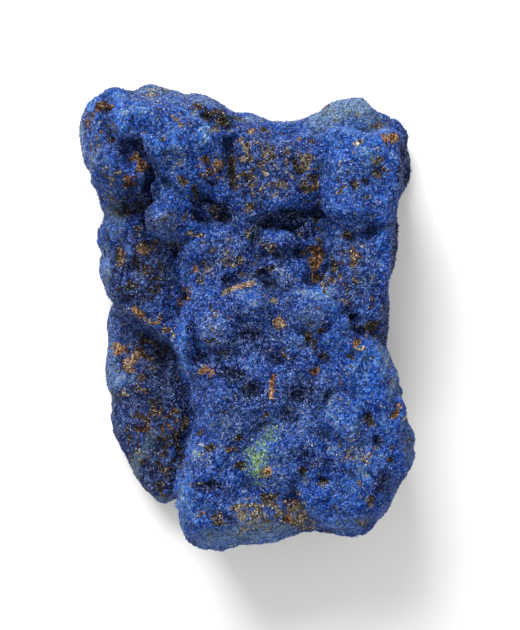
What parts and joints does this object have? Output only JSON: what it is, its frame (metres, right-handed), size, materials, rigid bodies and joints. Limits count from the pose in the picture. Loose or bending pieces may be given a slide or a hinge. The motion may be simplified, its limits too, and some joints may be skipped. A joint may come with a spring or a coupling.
{
  "type": "azurite specimen",
  "caption": "Natural azurite stone: a knobbly blue mineral crust grown over a rusty limonite base, lying on its flat broken back, for display or as loose rock.",
  "frame": {"origin": "bottom centre of the bounding box, in the plane of the worn back that the stone lies on", "axes": "+Z up, out of the grown face; +Y along the stone's length, towards the hooded ridge; +X to the right, seen from above with +Y up"},
  "size_m": [0.077, 0.104, 0.042],
  "materials": {
    "azurite_crust": "Dull to sparkling grains of azurite, deep to bright blue, with rust-brown, ochre and cream limonite between them and one small patch of green malachite."
  },
  "bodies": {
    "root": {"azurite_specimen": "azurite_crust"}
  },
  "joints": []
}
